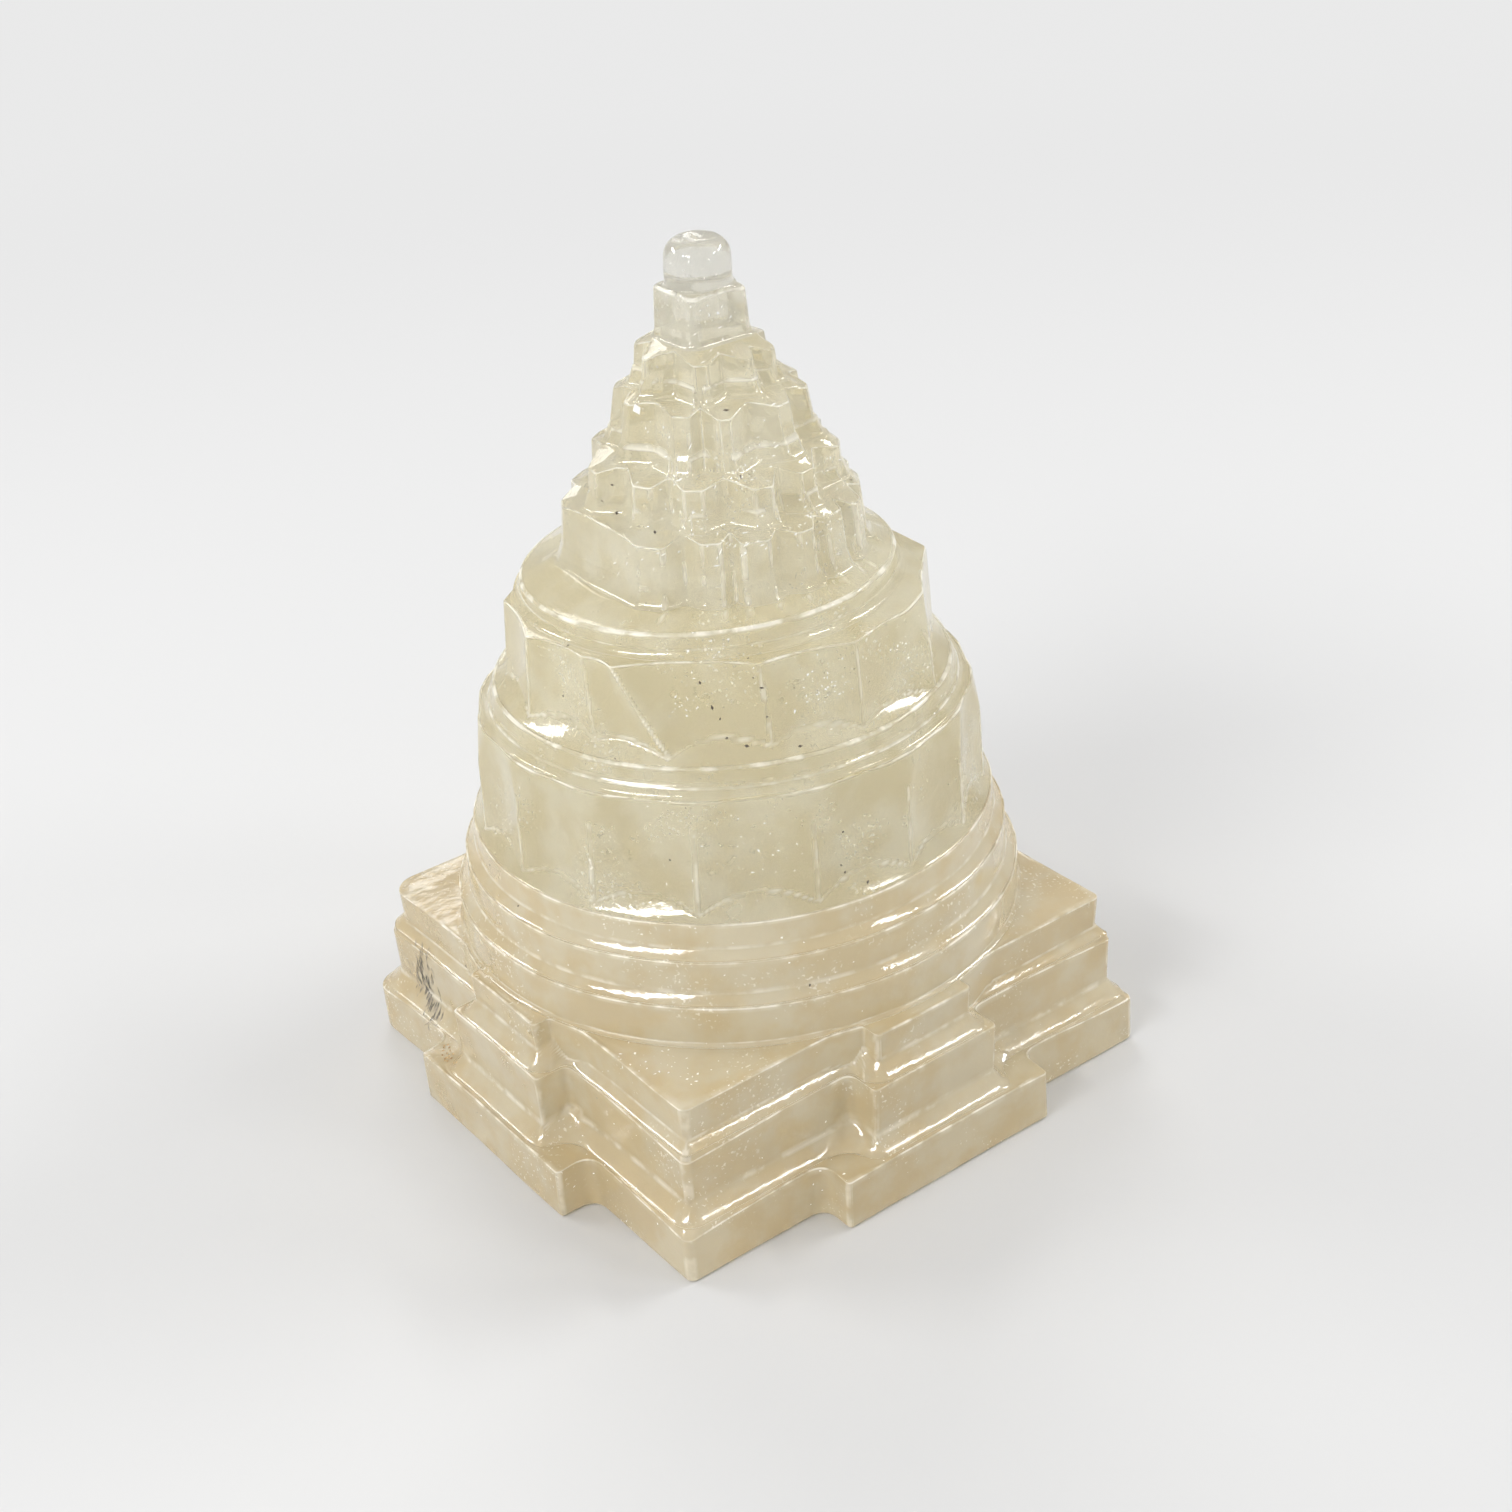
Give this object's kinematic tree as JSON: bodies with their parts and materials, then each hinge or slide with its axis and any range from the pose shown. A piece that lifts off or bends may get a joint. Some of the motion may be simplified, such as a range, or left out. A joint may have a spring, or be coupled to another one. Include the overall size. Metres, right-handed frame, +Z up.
{
  "type": "meru shri yantra",
  "caption": "Stepped rock crystal shri yantra: gated square steps, rings, two lotus tiers, star tiers and a round-topped bindu.",
  "frame": {"origin": "centre of the flat underside", "axes": "+Z up through the bindu; the gates of the square steps face X and Y, and the front is the -Y side"},
  "size_m": [0.0682, 0.0682, 0.091],
  "materials": {
    "crystal_base": "polished translucent rock crystal, faintly pink and milky",
    "crystal_middle": "polished translucent rock crystal, straw coloured with pale veils",
    "crystal_upper": "polished translucent rock crystal, pale grey straw",
    "crystal_clear": "polished rock crystal, nearly clear"
  },
  "bodies": {
    "root": {"square_step_lower": "crystal_base", "square_step_middle": "crystal_base", "square_step_upper": "crystal_base", "ring_lower": "crystal_base", "ring_middle": "crystal_base", "ring_upper": "crystal_base", "lotus_sixteen_petals": "crystal_middle", "round_plate_lower": "crystal_middle", "lotus_eight_petals": "crystal_middle", "round_plate_upper": "crystal_middle", "star_fourteen_points": "crystal_upper", "star_ten_points_outer": "crystal_upper", "star_ten_points_inner": "crystal_upper", "star_eight_points": "crystal_upper", "bindu_seat": "crystal_clear", "bindu": "crystal_clear"}
  },
  "joints": []
}
